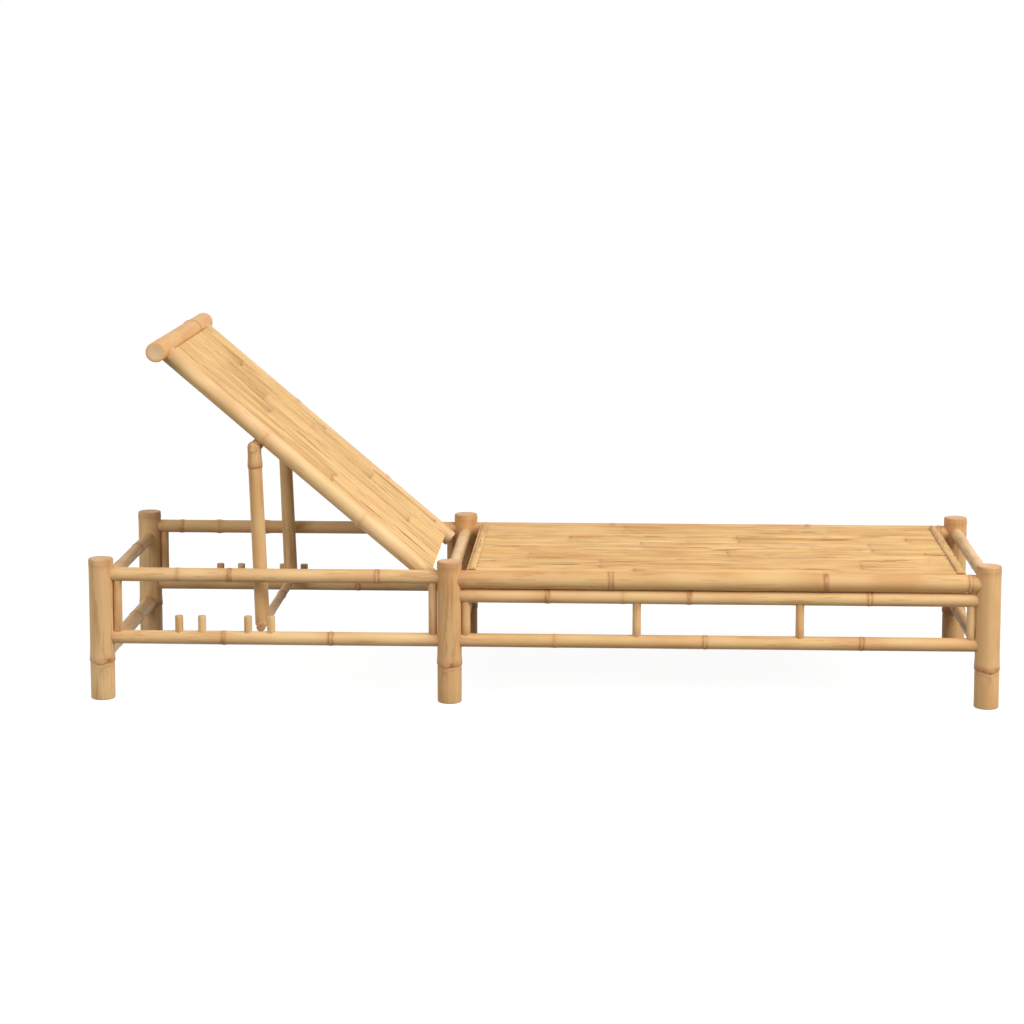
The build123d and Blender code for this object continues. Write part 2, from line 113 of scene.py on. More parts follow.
class Surface:
    """Points, faces and the facts kept for each point, gathered until the mesh is made."""

    def __init__(self):
        self.points, self.quads, self.triangles = [], [], []
        self.skin, self.ring, self.tone, self.cut = [], [], [], []
        self.count = 0

    def add(self, points, skin, ring, tone, cut, rows, columns):
        """Takes one closed tube: its points in the model's frame, and its facts."""
        quads, triangles = tube_faces(rows, columns)
        self.quads.append(quads + self.count)
        self.triangles.append(triangles + self.count)
        self.points.append(points)
        self.skin.append(skin)
        self.ring.append(ring)
        self.tone.append(np.broadcast_to(tone, len(points)))
        self.cut.append(cut)
        self.count += len(points)

    def make(self, name, material):
        """Puts the gathered arrays into a mesh, smooth but for its sharp edges."""
        mesh = bpy.data.meshes.new(name)
        faces = np.concatenate(self.quads).tolist() + np.concatenate(self.triangles).tolist()
        mesh.from_pydata(np.concatenate(self.points), [], faces)
        facts = (
            ("skin", "FLOAT_VECTOR", "vector", self.skin),
            ("ring", "FLOAT_VECTOR", "vector", self.ring),
            ("tone", "FLOAT", "value", self.tone),
            ("cut", "FLOAT", "value", self.cut),
        )
        for fact, kind, field, values in facts:
            layer = mesh.attributes.new(fact, kind, "POINT")
            layer.data.foreach_set(field, np.concatenate(values).astype(np.float32).ravel())
        mesh.set_sharp_from_angle(angle=np.radians(50))
        mesh.materials.append(material)
        piece = bpy.data.objects.new(name, mesh)
        scene.collection.objects.link(piece)
        return piece


def seat(piece, node):
    """The piece stands for a node of the solid model and moves with that node's body."""
    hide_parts(node)
    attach(piece, BODY_OF[node])


print("mesh builder ready")

# %% [markdown]
# ## Shared effects for the materials
# Bamboo has long thin fibres, darker flecks that follow them, and a brown scar with a pink
# flush at each growth ring. Poles and split slats both show these, so they are node groups
# that each material places with its own values. The pattern is read from the "skin"
# attribute, the piece's own frame, so the fibres run along every pole whichever way it lies.

# %% Node helpers
def linear(red, green, blue):
    """A colour given as it looks on a screen, 0 to 255, as the shader's linear values."""
    share = np.array([red, green, blue]) / 255
    low = share / 12.92
    high = ((share + 0.055) / 1.055) ** 2.4
    return (*np.where(share <= 0.04045, low, high), 1.0)


class Graph:
    """A node tree with short calls that add a node, set its inputs and link it."""

    def __init__(self, tree):
        self.tree = tree

    def node(self, kind, **settings):
        made = self.tree.nodes.new(kind)
        for setting, value in settings.items():
            setattr(made, setting, value)
        return made

    def feed(self, socket, source):
        """Links a socket to another, or sets it to a plain value."""
        if isinstance(source, bpy.types.NodeSocket):
            self.tree.links.new(source, socket)
        else:
            socket.default_value = source

    def math(self, operation, *values, clamp=False):
        made = self.node("ShaderNodeMath", operation=operation, use_clamp=clamp)
        for socket, value in zip(made.inputs, values):
            self.feed(socket, value)
        return made.outputs[0]

    def scaled(self, vector, scale):
        made = self.node("ShaderNodeVectorMath", operation="MULTIPLY")
        self.feed(made.inputs[0], vector)
        self.feed(made.inputs[1], scale)
        return made.outputs[0]

    def noise(self, vector, scale, detail=2.0, roughness=0.5):
        made = self.node("ShaderNodeTexNoise")
        self.feed(made.inputs["Vector"], self.scaled(vector, scale))
        made.inputs["Scale"].default_value = 1.0
        made.inputs["Detail"].default_value = detail
        made.inputs["Roughness"].default_value = roughness
        return made.outputs["Fac"]

    def ramp(self, value, low, high, start=0.0, end=1.0):
        """A smooth step: start below low, end above high."""
        made = self.node("ShaderNodeMapRange", interpolation_type="SMOOTHSTEP")
        places = ("Value", "From Min", "From Max", "To Min", "To Max")
        for place, source in zip(places, (value, low, high, start, end)):
            self.feed(made.inputs[place], source)
        return made.outputs["Result"]

    def mix(self, share, first, second):
        """A colour between two others."""
        made = self.node("ShaderNodeMix", data_type="RGBA")
        for place, source in ((0, share), (6, first), (7, second)):
            self.feed(made.inputs[place], source)
        return made.outputs[2]

    def fact(self, name):
        """A node that reads one of the facts kept for each point."""
        return self.node("ShaderNodeAttribute", attribute_name=name)


def effect(name, inputs, outputs):
    """An empty node group with named sockets, and its graph, inputs and output node."""
    tree = bpy.data.node_groups.new(name, "ShaderNodeTree")
    for socket, kind in inputs:
        tree.interface.new_socket(socket, in_out="INPUT", socket_type=kind)
    for socket in outputs:
        tree.interface.new_socket(socket, in_out="OUTPUT", socket_type="NodeSocketFloat")
    graph = Graph(tree)
    return tree, graph, graph.node("NodeGroupInput").outputs, graph.node("NodeGroupOutput").inputs


print("node helpers ready")

# %% Fibres and flecks
fibres, graph, given, result = effect(
    "bamboo_fibres",
    [("Skin", "NodeSocketVector"), ("Fleck Amount", "NodeSocketFloat")],
    ["Streak", "Fleck", "Patch", "Green", "Relief"],
)
streak = graph.noise(given["Skin"], (90, 90, 2.4), detail=3.0, roughness=0.6)
graph.feed(result["Streak"], graph.ramp(streak, 0.34, 0.66))
fleck_field = graph.noise(given["Skin"], (140, 140, 9), detail=3.0, roughness=0.6)
fleck_patch = graph.ramp(graph.noise(given["Skin"], (15, 15, 3), detail=1.0), 0.44, 0.54)
fleck = graph.math("MULTIPLY", graph.ramp(fleck_field, 0.56, 0.61), fleck_patch)
graph.feed(result["Fleck"], graph.math("MULTIPLY", fleck, given["Fleck Amount"]))
graph.feed(result["Patch"], graph.ramp(graph.noise(given["Skin"], (16, 16, 7)), 0.38, 0.66))
green = graph.noise(given["Skin"], (11, 11, 4.3), detail=1.0)
graph.feed(result["Green"], graph.ramp(green, 0.46, 0.68))
graph.feed(result["Relief"], graph.noise(given["Skin"], (700, 700, 9), detail=1.0))
print("group", fibres.name, len(fibres.nodes), "nodes")

# %% Growth rings
rings, graph, given, result = effect(
    "growth_ring_and_shade",
    [("Skin", "NodeSocketVector"), ("Marks", "NodeSocketVector")],
    ["Line", "Band", "Flush"],
)
# The marks hold the rings and also painted shade at joints and strip edges; each is broken up by its own noise.
marks = graph.node("ShaderNodeSeparateXYZ")
graph.feed(marks.inputs[0], given["Marks"])
broken = graph.ramp(graph.noise(given["Skin"], (80, 80, 50), detail=3.0), 0.36, 0.6, 0.1, 1.0)
graph.feed(result["Line"], graph.math("MULTIPLY", marks.outputs[0], broken))
uneven = graph.ramp(graph.noise(given["Skin"], (55, 55, 60), detail=3.0), 0.3, 0.66, 0.35, 1.0)
graph.feed(result["Band"], graph.math("MULTIPLY", marks.outputs[1], uneven))
cloudy = graph.ramp(graph.noise(given["Skin"], (38, 38, 22), detail=2.0), 0.35, 0.65, 0.25, 1.0)
graph.feed(result["Flush"], graph.math("MULTIPLY", marks.outputs[2], cloudy))
print("group", rings.name, len(rings.nodes), "nodes")

# %% [markdown]
# ## The bamboo finishes
# Poles are straw coloured with honey, pink and faintly green stretches under a thin satin
# varnish, and pinkish where they are sawn. The split slats are a little warmer and show more
# of the darker fibre, and the head roller is a golden pole with a paler sawn face. One recipe
# makes all three, from colours as they look on the real piece.

# %% Bamboo materials
FLECK_BROWN = linear(160, 108, 56)
FLUSH_PINK = linear(218, 164, 116)


def bamboo(name, straw, honey, green, ring, scar, flecks, streaks,
           sawn=((226, 184, 136), (204, 156, 112))):
    """A varnished bamboo finish from the shared effects and its own colours, 0 to 255.

    straw and honey are its pale and warm stretches, and green a tint between them. ring and
    scar are the browns of a growth ring's band and line, and ring also browns the painted shade
    at joints and strip edges. sawn is the pale and dark shade of a sawn face. flecks and
    streaks are shares that say how much these show.
    """
    material = bpy.data.materials.new(name)
    material.use_nodes = True
    graph = Graph(material.node_tree)
    shader = material.node_tree.nodes["Principled BSDF"]
    shader.inputs["Specular IOR Level"].default_value = 0.22
    skin = graph.fact("skin").outputs["Vector"]
    tone = graph.fact("tone").outputs["Fac"]
    fibre = graph.node("ShaderNodeGroup", node_tree=fibres)
    fibre.inputs["Fleck Amount"].default_value = flecks
    graph.feed(fibre.inputs["Skin"], skin)
    growth = graph.node("ShaderNodeGroup", node_tree=rings)
    graph.feed(growth.inputs["Skin"], skin)
    graph.feed(growth.inputs["Marks"], graph.fact("ring").outputs["Vector"])
    streak = graph.math("MULTIPLY", fibre.outputs["Streak"], streaks)
    warm = graph.math("MULTIPLY_ADD", tone, 0.5, streak)
    warm = graph.math("ADD", warm, graph.math("MULTIPLY", fibre.outputs["Patch"], 0.4), clamp=True)
    colour = graph.mix(warm, linear(*straw), linear(*honey))
    tint = graph.math("MULTIPLY", fibre.outputs["Green"], 0.45)
    colour = graph.mix(tint, colour, linear(*green))
    colour = graph.mix(fibre.outputs["Fleck"], colour, FLECK_BROWN)
    # The flush and band carry the rings' marks and also painted shade: pinker and browner at joints, browner along
    # strip edges.
    flush = graph.math("MULTIPLY", growth.outputs["Flush"], 0.6)
    colour = graph.mix(flush, colour, FLUSH_PINK)
    band = graph.math("MULTIPLY", growth.outputs["Band"], 0.85)
    colour = graph.mix(band, colour, linear(*ring))
    line = graph.math("MULTIPLY", growth.outputs["Line"], 0.9)
    colour = graph.mix(line, colour, linear(*scar))
    pale, dark = (linear(*shade) for shade in sawn)
    face = graph.mix(fibre.outputs["Relief"], pale, dark)
    colour = graph.mix(graph.fact("cut").outputs["Fac"], colour, face)
    graph.feed(shader.inputs["Base Color"], colour)
    rough = graph.math("MULTIPLY_ADD", fibre.outputs["Streak"], 0.14, 0.42)
    graph.feed(shader.inputs["Roughness"], rough)
    bump = graph.node("ShaderNodeBump")
    bump.inputs["Strength"].default_value = 0.2
    bump.inputs["Distance"].default_value = 0.0006
    graph.feed(bump.inputs["Height"], fibre.outputs["Relief"])
    graph.feed(shader.inputs["Normal"], bump.outputs["Normal"])
    return material


POLE = bamboo(
    "bamboo_pole", straw=(233, 196, 144), honey=(203, 156, 102), green=(220, 188, 128),
    ring=(164, 104, 64), scar=(122, 70, 40), flecks=0.35, streaks=0.2,
)
SLAT = bamboo(
    "bamboo_slat", straw=(244, 200, 133), honey=(197, 146, 82), green=(232, 192, 120),
    ring=(172, 116, 60), scar=(120, 74, 36), flecks=0.85, streaks=0.22,
)
GOLDEN = bamboo(
    "bamboo_golden_pole", straw=(235, 184, 122), honey=(218, 160, 98), green=(230, 182, 106),
    ring=(164, 104, 64), scar=(122, 70, 40), flecks=0.12, streaks=0.2,
    sawn=((224, 194, 154), (204, 172, 132)),
)
print("finishes", POLE.name, SLAT.name, GOLDEN.name)

# %% [markdown]
# ## Poles
# A culm isn't a plain cylinder: it swells at each growth ring, draws in a little between
# rings, is slightly oval and never quite straight. The radius is therefore a function of
# height and angle. Rings differ: some show as a pale lip between two thin lines, some as one
# brown band, some as a bare swelling, and a thick leg flares above a dark scar that dips at
# the bud. Rows crowd together at the rings and stay far apart on the plain stretches.

# %% Growth ring shapes
# Places of the rows about a ring, in mm: dense at the ring and sparser beyond it
CLUSTER_MM = np.concatenate([np.arange(-12, -4, 2), np.arange(-4, 13, 1), np.arange(14, 34, 5)])
BUD_ANGLE = 0.9


def bell(gap, width):
    """A bump of height 1 at no gap that fades over the width."""
    return np.exp(-((gap / width) ** 2))


def ring_marks(height, angle, rings, joint, chance):
    """Radius change and colour marks over a grid of heights (rows) and angles (columns).

    Each ring is a place and a style. Its line wanders round the culm by a sum of two waves,
    and every mark is a bell curve of the gap to that line. Towards a joint both ends turn
    browner and pinker by another bell, painted shade where the pole meets another.
    Returns the change of radius and the marks (line, band, flush).
    """
    rise = np.zeros((len(height), len(angle)))
    marks = np.zeros((len(height), len(angle), 3))
    # Painted shade: both ends turn browner and pinker where the pole meets another at a joint.
    if joint:
        to_end = np.minimum(height, height.max() - height)
        band, flush = 0.5 * bell(to_end, joint + 0.008), 0.7 * bell(to_end, joint + 0.03)
        joint_shade = np.stack([np.zeros_like(to_end), band, flush], -1)
        marks = np.maximum(marks, joint_shade[:, None, :])
    for place, style in rings:
        phase = chance.uniform(0, 2 * np.pi, 3)
        wander = 0.0006 * np.sin(angle + phase[0]) + 0.0003 * np.sin(3 * angle + phase[1])
        gap = height[:, None] - place - wander[None, :]
        flush = 0.7 * bell(gap, 0.022)
        if style == "double":
            line = 0.3 * bell(gap, 0.002) + 0.4 * bell(gap - 0.0085, 0.002)
            band = 0.7 * bell(gap, 0.0034) + 0.85 * bell(gap - 0.0085, 0.0034)
            flush = 0.9 * bell(gap - 0.004, 0.026)
            rise += 0.0010 * bell(gap - 0.0043, 0.0034) - 0.0005 * bell(gap, 0.0014)
        elif style == "band":
            line = 0.35 * bell(gap - 0.0045, 0.0016) + 0.25 * bell(gap + 0.0045, 0.0016)
            tail = 0.4 * np.where(gap < 0, np.exp(gap / 0.016), 0)
            band = np.maximum(np.exp(-((gap / 0.0065) ** 4)), tail)
            rise += 0.0011 * bell(gap, 0.004)
        elif style == "faint":
            line = 0.15 * bell(gap, 0.0013)
            band = 0.4 * bell(gap, 0.006)
            rise += 0.0006 * bell(gap, 0.004)
        elif style == "swell":
            turn = np.angle(np.exp(1j * (angle + BUD_ANGLE)))
            bud = bell(gap + 0.006, 0.003) * bell(turn, 0.12)[None, :]
            line = 0.9 * bud
            band = np.maximum(0.3 * bell(gap, 0.004), bud)
            rise += 0.0016 * bell(gap, 0.007)
        elif style == "lip":
            line = 0.55 * bell(gap, 0.0016)
            band = np.where(gap > 0, 0.55 * bell(gap, 0.01), 0.7 * bell(gap, 0.003))
            rise += 0.0015 * np.where(gap > 0, bell(gap, 0.016), bell(gap, 0.0025))
        elif style == "leg":
            turn = np.angle(np.exp(1j * (angle + chance.uniform(-0.6, 0.6))))
            gap = gap + 0.004 * bell(turn, 0.4)[None, :] - 0.002
            patchy = 0.25 + 0.75 * (0.5 + 0.5 * np.sin(3 * angle + phase[2]))
            scar = 0.85 * bell(gap, 0.0022) * patchy
            line = np.maximum(scar, bell(gap, 0.0032) * bell(turn, 0.22))
            line = np.maximum(line, bell(gap - 0.004, 0.0026) * bell(turn - 0.75, 0.25))
            line = np.maximum(line, 0.35 * bell(gap + 0.0105, 0.0014))
            band = 0.8 * bell(gap - 0.002, 0.008) * (0.4 + 0.6 * np.cos(angle + phase[1]) ** 2)
            rise += 0.0013 * np.where(gap > 0, bell(gap, 0.016), bell(gap, 0.003))
            rise -= 0.0006 * bell(gap + 0.004, 0.002)
        else:
            line = 0.12 * bell(gap, 0.0016)
            band = 0.5 * np.clip((gap + 0.014) / 0.026, 0, 1)
            flush = np.where(gap > 0, 0.8, 0.8 * bell(gap, 0.03))
            rise += 0.0006 * bell(gap - 0.002, 0.006)
        marks = np.maximum(marks, np.stack([line, band, flush], -1))
    return rise, np.clip(marks, 0, 1)


print("ring styles: double, band, faint, swell, lip, leg, top")

# %% Culm surface
COLUMNS = 48
ROW_SPACING = 0.03
COPE_FADE = 0.03
CULM_WALL = 0.006


def row_places(length, ring_places, spacing, ease, dome=0.0):
    """Heights of the rows: even steps, a cluster at each ring and eased or domed ends."""
    even = np.linspace(ease, length - ease, max(4, int(length / spacing)))
    close = (np.array(ring_places, float)[:, None] + CLUSTER_MM / 1000).ravel()
    inside = close[(close > ease) & (close < length - ease)]
    edge = ease * (1 - np.cos(np.linspace(0, np.pi / 2, 5)))
    cap = length - dome * (1 - np.sin(np.linspace(0, np.pi / 2, 12)))
    return np.unique(np.round(np.concatenate([even, inside, edge, length - edge, cap]), 6))


def frame_of(start, end):
    """Unit vectors of a piece's own frame: across, across again, and along."""
    along = (end - start) / np.linalg.norm(end - start)
    helper = np.array([0.0, 0.0, 1.0]) if abs(along[2]) < 0.9 else np.array([1.0, 0.0, 0.0])
    across = np.cross(helper, along)
    across /= np.linalg.norm(across)
    return across, np.cross(along, across), along


def add_culm(surface, start, end, diameter, rings, seed, tone=None, joint=0.0, taper=0.0, cope=0.0,
             dome=0.0, dish=0.0, ease=0.0012):
    """A culm from start to end, with rings given as (share of the length, style).

    joint is the length hidden in a leg at either end; just beyond it painted shade browns the culm.
    radius(height, angle) = r * (1 + oval) + ring rise - waist - taper, where waist is a shallow
    draw away from the rings, taper grows evenly with height and oval is a two-lobed wave round
    the culm. Eased ends follow a quarter circle, and a domed end a blunt superellipse. A coped
    end reaches round a culm of that radius, by its circle's rise. The axis bows by a half sine.
    """
    chance = np.random.default_rng(seed)
    start, end = np.array(start, float), np.array(end, float)
    length, radius = np.linalg.norm(end - start), diameter / 2
    rings = [(share * length, style) for share, style in rings]
    places = [place for place, style in rings]
    height = row_places(length, places, ROW_SPACING, ease, dome)
    angle = np.arange(COLUMNS) / COLUMNS * 2 * np.pi
    across, side, along = frame_of(start, end)
    rise, marks = ring_marks(height, angle, rings, joint, chance)
    away = np.abs(height[:, None] - np.array(places + [-1.0])).min(1)
    waist = 0.012 * radius * np.clip(away / 0.15, 0, 1)
    oval = 0.008 * np.cos(2 * (angle - chance.uniform(0, np.pi)))
    wide = radius * (1 + oval)[None, :] + rise - (waist + taper * (height / length - 0.5))[:, None]
    edge = np.clip(1 - np.minimum(height, length - height) / ease, 0, 1)
    wide -= (ease * (1 - np.sqrt(1 - edge**2)))[:, None]
    if dome:
        past = np.clip((height - (length - dome)) / dome, 0, 0.9999)
        wide *= ((1 - past**2.4) ** (1 / 2.4))[:, None]
    bow = np.sin(np.pi * height / length) * chance.uniform(0.0, 0.0009) * min(1.0, length)
    turn = chance.uniform(0, 2 * np.pi)
    local = np.empty((len(height), COLUMNS, 3))
    local[..., 0] = wide * np.cos(angle) + (bow * np.cos(turn))[:, None]
    local[..., 1] = wide * np.sin(angle) + (bow * np.sin(turn))[:, None]
    local[..., 2] = height[:, None]
    if cope:
        near_end = np.clip(1 - (length - height) / COPE_FADE, 0, 1)
        aside = np.minimum(local[..., 1] ** 2, 0.9 * cope**2)
        local[..., 2] += near_end[:, None] * (cope - np.sqrt(cope**2 - aside))
    wall = 1 - min(0.45, CULM_WALL / radius)
    inner = wall * 0.75
    low, high = local[:1], local[-1:]
    cap_low = [low * [inner, inner, 1] + [0, 0, dish], low * [wall, wall, 1]]
    cap_high = [high * [wall, wall, 1], high * [inner, inner, 1] - [0, 0, dish]]
    rows = np.concatenate([*cap_low, local, *cap_high])
    centres = np.array([[0, 0, dish], [0, 0, length - dish]])
    flat = np.concatenate([rows.reshape(-1, 3), centres])
    high_cut = 0.0 if dome else 1.0
    cut = np.zeros((len(rows), COLUMNS))
    cut[:2], cut[-2:] = 1.0, high_cut
    plain = np.zeros((2, COLUMNS, 3))
    marks = np.concatenate([plain, marks, plain]).reshape(-1, 3)
    surface.add(
        start + flat @ np.stack([across, side, along]),
        flat + [0, 0, chance.uniform(0, 40)],
        np.concatenate([marks, np.zeros((2, 3))]),
        chance.uniform(0, 1) if tone is None else tone,
        np.concatenate([cut.ravel(), [1.0, high_cut]]),
        len(rows), COLUMNS,
    )


def pole(node, start, end, diameter, rings, finish=POLE, **shape):
    """One culm that stands for one node, in the usual pole finish or another."""
    surface = Surface()
    seed = sum(ord(letter) * (index + 3) for index, letter in enumerate(node))
    add_culm(surface, start, end, diameter, rings, seed, **shape)
    piece = surface.make("pole_" + node, finish)
    seat(piece, node)
    return piece


print("culm recipe ready,", COLUMNS, "columns")

# %% [markdown]
# ## Legs, rails and crossbars
# Each pole's ends come from the solid model's box, so the tenons that run into the legs stay
# hidden there. The growth rings sit where they show on the real poles, as shares of length,
# each in its own style. Legs are cut just above a ring, so their tops are a pink band.

# %% Legs
LEG_DIA = 0.054
LEG_RING = 0.084
LEG_TOP_RING = 0.013
LEG_TONES = {"head": 0.1, "middle": 1.3, "foot": 1.1}
SAWN_END = {"dish": 0.0008, "ease": 0.003}
SIDES = ("right", "left")
X_AXIS, Y_AXIS, Z_AXIS = range(3)


def middle_of(node):
    """The low corner, the high corner and the middle of a node's box."""
    low, high = (np.array(corner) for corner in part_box(node))
    return low, high, (low + high) / 2


def ends_of(node, axis):
    """The middles of the two faces of a node's box that an axis runs through."""
    low, high, centre = middle_of(node)
    start, end = centre.copy(), centre.copy()
    start[axis], end[axis] = low[axis], high[axis]
    return start, end


for pair, tone in LEG_TONES.items():
    for side in SIDES:
        node = f"{pair}_leg_{side}"
        foot, top = ends_of(node, Z_AXIS)
        height = top[2] - foot[2]
        leg_rings = ((LEG_RING / height, "leg"), (1 - LEG_TOP_RING / height, "top"))
        pole(node, foot, top, LEG_DIA, leg_rings, tone=tone, **SAWN_END)
print("legs", len(SIDES) * len(LEG_TONES))

# %% Side rails and crossbars
TENON = 0.014
CROSSBAR_TONE = 0.0
# Each rail's name, diameter, tone and rings
RAILS = (
    ("head_rail", 0.031, 0.35, ((0.212, "faint"), (0.366, "band"), (0.798, "double"))),
    ("head_lower_rail", 0.030, 0.1, ((0.347, "band"), (0.659, "double"))),
    ("deck_rail", 0.040, 1.2, ((0.293, "double"), (0.704, "band"), (0.972, "double"))),
    ("deck_under_rail", 0.0305, 0.4,
     ((0.176, "band"), (0.32, "faint"), (0.446, "band"), (0.783, "double"))),
    ("foot_lower_rail", 0.030, 0.8, ((0.190, "faint"), (0.472, "double"), (0.769, "double"))),
)
CROSSBARS = (
    ("head_crossbar", 0.028, ((0.345, "faint"), (0.723, "double"))),
    ("head_low_crossbar", 0.033, ((0.252, "band"), (0.664, "double"))),
    ("middle_crossbar", 0.028, ((0.437, "faint"), (0.807, "faint"))),
    ("middle_low_crossbar", 0.033, ((0.286, "faint"), (0.689, "band"))),
    ("foot_crossbar", 0.028, ((0.319, "faint"), (0.756, "faint"))),
    ("foot_low_crossbar", 0.028, ((0.387, "band"), (0.840, "double"))),
)
FAR_HEAD_RINGS = ((0.09, "band"), (0.212, "swell"), (0.366, "swell"), (0.784, "faint"))
for name, diameter, tone, rail_rings in RAILS:
    for side in SIDES:
        node = f"{name}_{side}"
        chosen = FAR_HEAD_RINGS if node == "head_rail_left" else rail_rings
        pole(node, *ends_of(node, X_AXIS), diameter, chosen, tone=tone, joint=TENON)
for node, diameter, bar_rings in CROSSBARS:
    pole(node, *ends_of(node, Y_AXIS), diameter, bar_rings, tone=CROSSBAR_TONE, joint=TENON)
print("rails", len(RAILS) * len(SIDES), "crossbars", len(CROSSBARS))

# %% Stiles, pegs and deck bearers
STILE_DIA = 0.019
STILE_SEAT = 0.004
PEG_DIA = 0.018
PEG_STEPS = (0, 1, 3, 4)
PEG_SEED = 70
BEARER_DIA = 0.024
DECK_BEARERS = 4
STILES = ("stile_head", "stile_middle_head", "stile_middle_foot",
          "stile_deck_first", "stile_deck_second", "stile_foot")
for name in STILES:
    for side in SIDES:
        node = f"{name}_{side}"
        pole(node, *ends_of(node, Z_AXIS), STILE_DIA, (), joint=STILE_SEAT)
for side in SIDES:
    node = f"pegs_{side}"
    low, high, centre = middle_of(node)
    pitch = (high[0] - low[0] - PEG_DIA) / PEG_STEPS[-1]
    surface = Surface()
    for index, step in enumerate(PEG_STEPS):
        place = (low[0] + PEG_DIA / 2 + step * pitch, centre[1])
        add_culm(surface, (*place, low[2]), (*place, high[2]), PEG_DIA, (), PEG_SEED + index)
    seat(surface.make("pole_" + node, POLE), node)
for index in range(DECK_BEARERS):
    node = f"deck_bearer_{index + 1}"
    pole(node, *ends_of(node, Y_AXIS), BEARER_DIA, ((0.4, "faint"), (0.75, "double")))
print("stiles", len(STILES) * len(SIDES), "pegs", len(PEG_STEPS) * len(SIDES))

# %% [markdown]
# ## Slats
# A slat is a strip split from a thick culm: flat underneath, gently crowned on top, with
# rounded upper edges. A growth ring crosses it now and then as a faint mark. A profile of
# points carried along the strip gives that shape, and small chances in width, height and
# tone keep neighbours from looking alike.

# %% Slat surface
SLAT_THICKNESS = 0.007
SLAT_CROWN = 0.0014
SLAT_SHOULDER = 0.0012
SLAT_GAP = 0.0012
STRIP_SPACING = 0.025
STRIP_EASE = 0.0008
NARROWING = 0.008
NARROWING_WAVES = ((6, 11), (18, 45))


def slat_profile(width, thickness, crown):
    """Points round the section: a crowned top from edge to edge, then the flat underside."""
    share = np.linspace(1, -1, 13)
    shoulder = SLAT_SHOULDER * np.clip((np.abs(share) - 0.8) / 0.2, 0, 1) ** 2
    top = np.stack([share * width / 2, thickness - crown * share**2 - shoulder], -1)
    under = np.stack([np.linspace(-1, 1, 5) * width / 2, np.zeros(5)], -1)
    return np.concatenate([top, under])


def add_strip(surface, origin, axes, length, section, places, chance, tones, settle=0.0):
    """A strip from origin along the last of three axes (across, up, along).

    Each row is the section, narrowed by a slow and a quick wave and raised by a bell at each
    ring. Tone falls off exponentially above a ring, as a culm is darkest there, and painted
    shade of varying strength, a clipped sum of waves, browns both edges, as the gaps beside a
    strip look dark. tones is the range that the strip's own tone is drawn from, and settle
    lifts or sinks its upper side.
    """
    height = row_places(length, places, STRIP_SPACING, STRIP_EASE)
    columns = len(section)
    raised = np.zeros(len(height))
    tone = np.full(len(height), chance.uniform(*tones))
    marks = np.zeros((len(height), columns, 3))
    for place in places:
        gap = height - place
        strength = chance.uniform(0.2, 1.0) ** 1.6
        raised += 0.0004 * bell(gap, 0.004)
        fade = np.exp(-np.maximum(gap, 0) / chance.uniform(0.05, 0.25))
        tone += np.where(gap > 0, (0.3 + 0.6 * strength) * fade, 0)
        above = np.exp(-np.maximum(gap, 0) / chance.uniform(0.006, 0.03))
        tail = np.where(gap < 0, bell(gap, 0.004), above)
        ring = np.stack([0.6 * bell(gap, 0.003), 0.8 * tail, 0.2 * bell(gap, 0.02)], -1)
        marks = np.maximum(marks, (strength * ring)[:, None, :])
    # Painted shade: broken brown stretches along both edges of the strip, where the gaps beside it look dark.
    waves = np.sin(height[:, None] * chance.uniform(5, 25, 3) + chance.uniform(0, 6, 3)).sum(1)
    gap_shade = np.clip(waves, 0, 1) * chance.uniform(0.2, 1.0)
    half = np.abs(section[:, 0]).max()
    rim = np.clip((np.abs(section[:, 0]) / half - 0.7) / 0.25, 0, 1)
    marks[..., 1] = np.maximum(marks[..., 1], gap_shade[:, None] * rim[None, :])
    slow, quick = (
        np.sin(height * chance.uniform(*span) + chance.uniform(0, 6)) for span in NARROWING_WAVES
    )
    narrow = 1 - NARROWING * (2 + slow + quick)
    top = (section[:, 1] > section[:, 1].max() / 2)[None, :]
    rows = np.empty((len(height), columns, 3))
    rows[..., 0] = section[:, 0] * narrow[:, None]
    rows[..., 1] = section[:, 1] + np.where(top, raised[:, None] + settle, 0)
    rows[..., 2] = height[:, None]
    middle = section[:, 1].max() / 2
    flat = np.concatenate([rows.reshape(-1, 3), [[0, middle, 0], [0, middle, length]]])
    cut = np.zeros(len(flat))
    cut[-2:] = 1.0
    surface.add(
        np.array(origin) + flat @ np.array(axes),
        flat + [chance.uniform(0, 3), 0, chance.uniform(0, 40)],
        np.concatenate([marks.reshape(-1, 3), np.zeros((2, 3))]),
        np.concatenate([np.repeat(np.clip(tone, 0, 1), columns), [0.3, 0.3]]),
        cut, len(height), columns,
    )


SLATS_PER_CULM = 3


def slat_row(node, count, middle, axes, length, breadth, seed, tones):
    """Slats side by side over a breadth, centred on the middle of their first ends.

    Neighbours split from one culm share its ring places, but for a few millimetres.
    """
    surface = Surface()
    pitch = (breadth + SLAT_GAP) / count
    for index in range(count):
        culm = np.random.default_rng(seed + index // SLATS_PER_CULM)
        chance = np.random.default_rng(seed + 50 + index)
        across = (index - (count - 1) / 2) * pitch
        origin = np.array(middle) + np.array(axes[0]) * across
        rings = np.arange(culm.uniform(0.03, 0.5), length, culm.uniform(0.34, 0.6))
        places = rings + chance.uniform(-0.003, 0.003, len(rings))
        inner = 0 < index < count - 1
        width = pitch - SLAT_GAP - (chance.uniform(-0.0009, 0.002) if inner else 0)
        section = slat_profile(width, SLAT_THICKNESS, SLAT_CROWN)
        settle = chance.uniform(-0.0006, 0.0002)
        add_strip(surface, origin, axes, length, section, places, chance, tones, settle)
    seat(surface.make("slats_" + node, SLAT), node)


print("slat recipe ready,", SLATS_PER_CULM, "slats from a culm")

